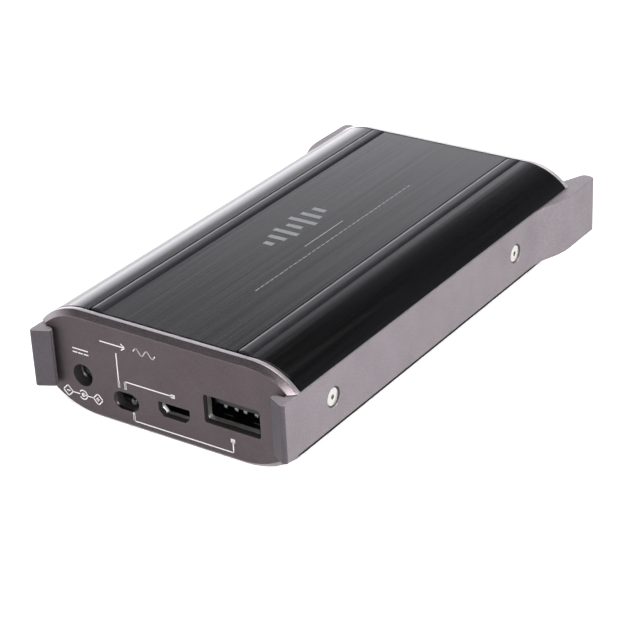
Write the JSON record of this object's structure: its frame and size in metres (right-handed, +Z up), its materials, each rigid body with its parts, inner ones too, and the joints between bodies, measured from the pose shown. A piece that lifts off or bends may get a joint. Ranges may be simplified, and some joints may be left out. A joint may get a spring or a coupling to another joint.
{
  "type": "pocket headphone amplifier and dac",
  "caption": "Slim metal headphone amplifier and DAC: round-shouldered black sleeve, end panels, horned side plates, turning volume knob and slide switches.",
  "frame": {"origin": "centre of the footprint, on the surface that the bottom strips stand on", "axes": "+Z up; -Y towards the control panel with the knob, +Y towards the socket panel; +X to the right when facing the control panel"},
  "size_m": [0.0642, 0.114, 0.0227],
  "materials": {
    "sleeve_black": "black anodised, brushed along its length on the flats, satin gloss on the shoulders",
    "panel_gunmetal": "bead-blasted, warm gunmetal anodised",
    "plate_gunmetal": "fine bead-blasted, warm grey anodised",
    "screw_steel": "bright turned steel",
    "strip_rubber": "satin black elastomer",
    "socket_metal": "plated sheet metal",
    "black_plastic": "moulded black plastic",
    "knob_aluminium": "turned and anodised",
    "light_guide": "milky clear plastic",
    "board_laminate": "green solder mask",
    "cell_wrap": "silver pouch foil",
    "foam": "closed-cell foam",
    "lead_red": "wire insulation",
    "lead_black": "wire insulation"
  },
  "bodies": {
    "chassis": {"case_sleeve": "sleeve_black", "rear_panel": "panel_gunmetal", "front_panel": "panel_gunmetal", "left_side_plate": "plate_gunmetal", "right_side_plate": "plate_gunmetal", "left_rear_screw": "screw_steel", "left_front_screw": "screw_steel", "right_rear_screw": "screw_steel", "right_front_screw": "screw_steel", "top_strip_left": "strip_rubber", "top_strip_right": "strip_rubber", "bottom_strip_left": "strip_rubber", "bottom_strip_right": "strip_rubber", "usb_a_shell": "socket_metal", "usb_a_tongue": "black_plastic", "micro_usb_shell": "socket_metal", "micro_usb_tongue": "black_plastic", "dc_jack": "black_plastic", "dc_jack_pin": "socket_metal", "phones_jack": "black_plastic", "input_jack": "black_plastic", "selector_switch": "black_plastic", "gain_switch": "black_plastic", "potentiometer": "screw_steel", "potentiometer_nut": "screw_steel", "power_light_pipe": "light_guide", "charge_light_pipe": "light_guide", "main_board": "board_laminate", "battery_shelf": "black_plastic", "battery_cell": "cell_wrap", "battery_pad": "foam", "battery_connector": "light_guide", "battery_lead_positive": "lead_red", "battery_lead_negative": "lead_black", "dac_chip": "black_plastic", "usb_bridge_chip": "black_plastic", "headphone_amp_chip": "black_plastic", "charger_chip": "black_plastic", "power_inductor": "black_plastic", "clock_crystal": "screw_steel", "output_capacitor_1": "screw_steel", "output_capacitor_2": "screw_steel", "output_capacitor_3": "screw_steel", "output_capacitor_4": "screw_steel", "shield_can": "screw_steel"},
    "knob": {"volume_knob": "knob_aluminium", "knob_shaft": "screw_steel"},
    "selector": {"selector_slider": "black_plastic"},
    "gain": {"gain_slider": "black_plastic"}
  },
  "joints": [
    {"name": "volume_turn", "type": "hinge", "parent": "chassis", "child": "knob", "pos_m": [0.0145, -0.0508, 0.0113], "axis": [0, 1, 0], "range_deg": [0, 300]},
    {"name": "selector_slide", "type": "slide", "parent": "chassis", "child": "selector", "axis": [1, 0, 0], "range_m": [0, 0.0027]},
    {"name": "gain_slide", "type": "slide", "parent": "chassis", "child": "gain", "axis": [1, 0, 0], "range_m": [0, 0.002]}
  ]
}
